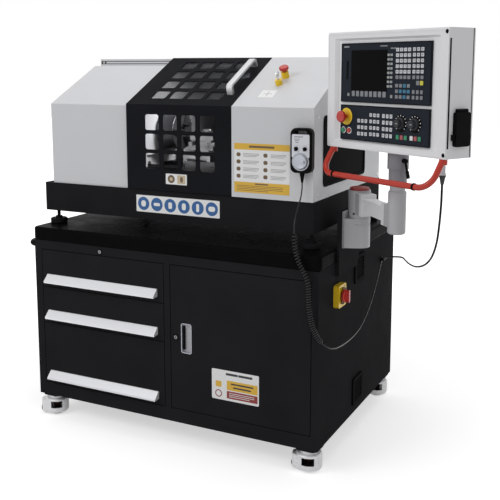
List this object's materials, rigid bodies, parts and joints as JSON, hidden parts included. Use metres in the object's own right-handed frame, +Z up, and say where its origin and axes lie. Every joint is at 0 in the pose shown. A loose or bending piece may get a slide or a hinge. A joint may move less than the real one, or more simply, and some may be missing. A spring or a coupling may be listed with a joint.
{
  "type": "benchtop cnc lathe",
  "caption": "Compact enclosed CNC lathe on a wheeled drawer cabinet, with a sliding guard, a swing-arm console and a hand-wheel pendant on a coiled cord.",
  "frame": {"origin": "on the floor, at the centre of the front left levelling pad", "axes": "+X to the machine's right along the spindle, from the headstock to the tailstock; +Y to the back; +Z up"},
  "size_m": [1.9252, 1.1287, 1.626],
  "materials": {
    "cabinet_black": "fine satin powder coat",
    "worktop_black": "smooth satin top",
    "runner_zinc": "zinc plated",
    "vent_black": "moulded",
    "tube_black": "satin powder coat",
    "switch_yellow": "moulded",
    "switch_red": "moulded",
    "pull_aluminium": "satin anodised",
    "lock_chrome": "plated",
    "caster_steel": "silver coat with rubber pad",
    "wheel_nylon": "moulded",
    "cover_grey": "light grey powder coat",
    "window_black": "tinted",
    "guard_black": "fine satin powder coat",
    "pane_clear": "clear sheet",
    "handle_steel": "brushed",
    "control_yellow": "moulded",
    "stop_red": "moulded",
    "key_steel": "plated",
    "bed_iron": "machined and oiled",
    "head_white": "gloss enamel",
    "chuck_steel": "hardened and ground",
    "slide_steel": "ground",
    "arm_grey": "satin enamel",
    "console_grey": "smooth enamel",
    "panel_slate": "printed membrane",
    "knob_black": "moulded",
    "start_green": "moulded",
    "handlebar_red": "plastic coated",
    "pendant_black": "moulded",
    "dial_steel": "turned",
    "cord_rubber": "soft jacket"
  },
  "bodies": {
    "machine": {"cabinet_body": "cabinet_black", "worktop": "worktop_black", "drawer_runners": "runner_zinc", "side_vents": "vent_black", "push_handle": "tube_black", "switch_base": "switch_yellow", "chip_tray": "cabinet_black", "headstock_cover": "cover_grey", "tailstock_cover": "cover_grey", "side_window": "window_black", "cover_controls": "control_yellow", "lathe_bed": "bed_iron", "headstock": "head_white", "arm_bracket": "arm_grey", "pendant_body": "pendant_black", "pendant_cord": "cord_rubber", "cord_coil": "cord_rubber", "console_lead": "cord_rubber"},
    "top_drawer": {"drawer_top": "cabinet_black", "pull_top": "pull_aluminium"},
    "middle_drawer": {"drawer_middle": "cabinet_black", "pull_middle": "pull_aluminium"},
    "bottom_drawer": {"drawer_bottom": "cabinet_black", "pull_bottom": "pull_aluminium"},
    "door": {"cabinet_door": "cabinet_black"},
    "door_lock": {"door_lock": "lock_chrome"},
    "drawer_lock": {"drawer_lock": "lock_chrome"},
    "main_switch": {"switch_handle": "switch_red"},
    "front_left_caster": {"caster_front_left": "caster_steel"},
    "front_left_wheel": {"wheel_front_left": "wheel_nylon"},
    "front_right_caster": {"caster_front_right": "caster_steel"},
    "front_right_wheel": {"wheel_front_right": "wheel_nylon"},
    "back_left_caster": {"caster_back_left": "caster_steel"},
    "back_left_wheel": {"wheel_back_left": "wheel_nylon"},
    "back_right_caster": {"caster_back_right": "caster_steel"},
    "back_right_wheel": {"wheel_back_right": "wheel_nylon"},
    "guard": {"guard_door": "guard_black", "guard_panes": "pane_clear", "guard_handle": "handle_steel"},
    "spindle": {"chuck": "chuck_steel"},
    "carriage": {"carriage": "slide_steel"},
    "cross_slide": {"cross_slide": "slide_steel"},
    "turret": {"tool_turret": "slide_steel"},
    "tailstock": {"tailstock": "slide_steel"},
    "cover_stop": {"cover_estop": "stop_red"},
    "cover_key": {"cover_key": "key_steel"},
    "arm": {"swing_arm": "arm_grey"},
    "console": {"console_body": "console_grey", "control_panels": "panel_slate", "handlebar": "handlebar_red"},
    "console_stop": {"console_estop": "stop_red"},
    "feed_knob": {"feed_knob": "knob_black"},
    "spindle_knob": {"spindle_knob": "knob_black"},
    "start_button": {"start_button": "start_green"},
    "stop_button": {"stop_button": "stop_red"},
    "clamp_lever": {"clamp_lever": "knob_black"},
    "service_flap": {"service_flap": "pendant_black"},
    "hand_wheel": {"mpg_wheel": "dial_steel"},
    "axis_knob": {"axis_knob": "knob_black"},
    "step_knob": {"step_knob": "knob_black"}
  },
  "joints": [
    {"name": "top_drawer_slide", "type": "slide", "parent": "machine", "child": "top_drawer", "axis": [0, -1, 0], "range_m": [0, 0.6]},
    {"name": "middle_drawer_slide", "type": "slide", "parent": "machine", "child": "middle_drawer", "axis": [0, -1, 0], "range_m": [0, 0.6]},
    {"name": "bottom_drawer_slide", "type": "slide", "parent": "machine", "child": "bottom_drawer", "axis": [0, -1, 0], "range_m": [0, 0.6]},
    {"name": "door_swing", "type": "hinge", "parent": "machine", "child": "door", "pos_m": [1.198, -0.042, 0.45], "axis": [0, 0, 1], "range_deg": [0, 90]},
    {"name": "door_lock_turn", "type": "hinge", "parent": "door", "child": "door_lock", "pos_m": [0.648, -0.05, 0.4525], "axis": [0, 1, 0], "range_deg": [0, 90]},
    {"name": "drawer_lock_turn", "type": "hinge", "parent": "machine", "child": "drawer_lock", "pos_m": [0.29, -0.05, 0.7605], "axis": [0, 1, 0], "range_deg": [0, 90]},
    {"name": "main_switch_turn", "type": "hinge", "parent": "machine", "child": "main_switch", "pos_m": [1.276, 0.139, 0.652], "axis": [1, 0, 0], "range_deg": [0, 90]},
    {"name": "front_left_caster_swivel", "type": "hinge", "parent": "machine", "child": "front_left_caster", "pos_m": [0, 0, 0.082], "axis": [0, 0, 1], "continuous": true},
    {"name": "front_left_wheel_roll", "type": "hinge", "parent": "front_left_caster", "child": "front_left_wheel", "pos_m": [-0.03604, -0.02524, 0.0265], "axis": [-0.5736, 0.8192, 0], "continuous": true},
    {"name": "front_right_caster_swivel", "type": "hinge", "parent": "machine", "child": "front_right_caster", "pos_m": [1.2, 0, 0.082], "axis": [0, 0, 1], "continuous": true},
    {"name": "front_right_wheel_roll", "type": "hinge", "parent": "front_right_caster", "child": "front_right_wheel", "pos_m": [1.1575, -0.01139, 0.0265], "axis": [-0.2588, 0.9659, 0], "continuous": true},
    {"name": "back_left_caster_swivel", "type": "hinge", "parent": "machine", "child": "back_left_caster", "pos_m": [0, 0.82, 0.082], "axis": [0, 0, 1], "continuous": true},
    {"name": "back_left_wheel_roll", "type": "hinge", "parent": "back_left_caster", "child": "back_left_wheel", "pos_m": [-0.0381, 0.842, 0.0265], "axis": [0.5, 0.866, 0], "continuous": true},
    {"name": "back_right_caster_swivel", "type": "hinge", "parent": "machine", "child": "back_right_caster", "pos_m": [1.2, 0.82, 0.082], "axis": [0, 0, 1], "continuous": true},
    {"name": "back_right_wheel_roll", "type": "hinge", "parent": "back_right_caster", "child": "back_right_wheel", "pos_m": [1.15865, 0.80495, 0.0265], "axis": [-0.342, 0.9397, 0], "continuous": true},
    {"name": "guard_slide", "type": "slide", "parent": "machine", "child": "guard", "axis": [-1, 0, 0], "range_m": [0, 0.355]},
    {"name": "spindle_turn", "type": "hinge", "parent": "machine", "child": "spindle", "pos_m": [0.374, 0.3, 1.238], "axis": [1, 0, 0], "continuous": true},
    {"name": "carriage_slide", "type": "slide", "parent": "machine", "child": "carriage", "axis": [1, 0, 0], "range_m": [-0.03, 0.08]},
    {"name": "cross_feed", "type": "slide", "parent": "carriage", "child": "cross_slide", "axis": [0, 1, 0], "range_m": [-0.03, 0.03]},
    {"name": "turret_index", "type": "hinge", "parent": "cross_slide", "child": "turret", "pos_m": [0.667, 0.184, 1.2], "axis": [0, 0, 1], "continuous": true},
    {"name": "tailstock_slide", "type": "slide", "parent": "machine", "child": "tailstock", "axis": [1, 0, 0], "range_m": [-0.02, 0.08]},
    {"name": "cover_stop_press", "type": "slide", "parent": "machine", "child": "cover_stop", "axis": [0, 0.4493, -0.8934], "range_m": [0, 0.004], "stiffness_N_per_m": 600},
    {"name": "cover_key_turn", "type": "hinge", "parent": "machine", "child": "cover_key", "pos_m": [0.988, 0.16603, 1.45985], "axis": [0, -0.4493, 0.8934], "range_deg": [0, 90]},
    {"name": "arm_swing", "type": "hinge", "parent": "machine", "child": "arm", "pos_m": [1.311, 0.2, 1], "axis": [0, 0, 1], "range_deg": [-6, 80], "deforming": ["console_lead"]},
    {"name": "console_turn", "type": "hinge", "parent": "arm", "child": "console", "pos_m": [1.52512, -0.03781, 1.18], "axis": [0, 0, 1], "range_deg": [-60, 60], "deforming": ["console_lead"]},
    {"name": "console_stop_press", "type": "slide", "parent": "console", "child": "console_stop", "axis": [0.4848, 0.8746, 0], "range_m": [0, 0.004], "stiffness_N_per_m": 600},
    {"name": "feed_knob_turn", "type": "hinge", "parent": "console", "child": "feed_knob", "pos_m": [1.55619, -0.1282, 1.328], "axis": [-0.4848, -0.8746, 0], "range_deg": [-135, 135]},
    {"name": "spindle_knob_turn", "type": "hinge", "parent": "console", "child": "spindle_knob", "pos_m": [1.61129, -0.15875, 1.328], "axis": [-0.4848, -0.8746, 0], "range_deg": [-135, 135]},
    {"name": "start_press", "type": "slide", "parent": "console", "child": "start_button", "axis": [0.4848, 0.8746, 0], "range_m": [0, 0.0012], "stiffness_N_per_m": 500},
    {"name": "stop_press", "type": "slide", "parent": "console", "child": "stop_button", "axis": [0.4848, 0.8746, 0], "range_m": [0, 0.0012], "stiffness_N_per_m": 500},
    {"name": "clamp_lever_turn", "type": "hinge", "parent": "console", "child": "clamp_lever", "pos_m": [1.55145, -0.06236, 1.199], "axis": [0.7314, -0.682, 0], "range_deg": [-60, 60]},
    {"name": "service_flap_turn", "type": "hinge", "parent": "console", "child": "service_flap", "pos_m": [1.76327, -0.18468, 1.376], "axis": [-0.4848, -0.8746, 0], "range_deg": [0, 110]},
    {"name": "hand_wheel_turn", "type": "hinge", "parent": "machine", "child": "hand_wheel", "pos_m": [1.162, -0.021, 1.172], "axis": [0, -1, 0], "continuous": true},
    {"name": "axis_knob_turn", "type": "hinge", "parent": "machine", "child": "axis_knob", "pos_m": [1.145, -0.021, 1.218], "axis": [0, -1, 0], "range_deg": [-60, 60]},
    {"name": "step_knob_turn", "type": "hinge", "parent": "machine", "child": "step_knob", "pos_m": [1.179, -0.021, 1.218], "axis": [0, -1, 0], "range_deg": [-60, 60]}
  ]
}
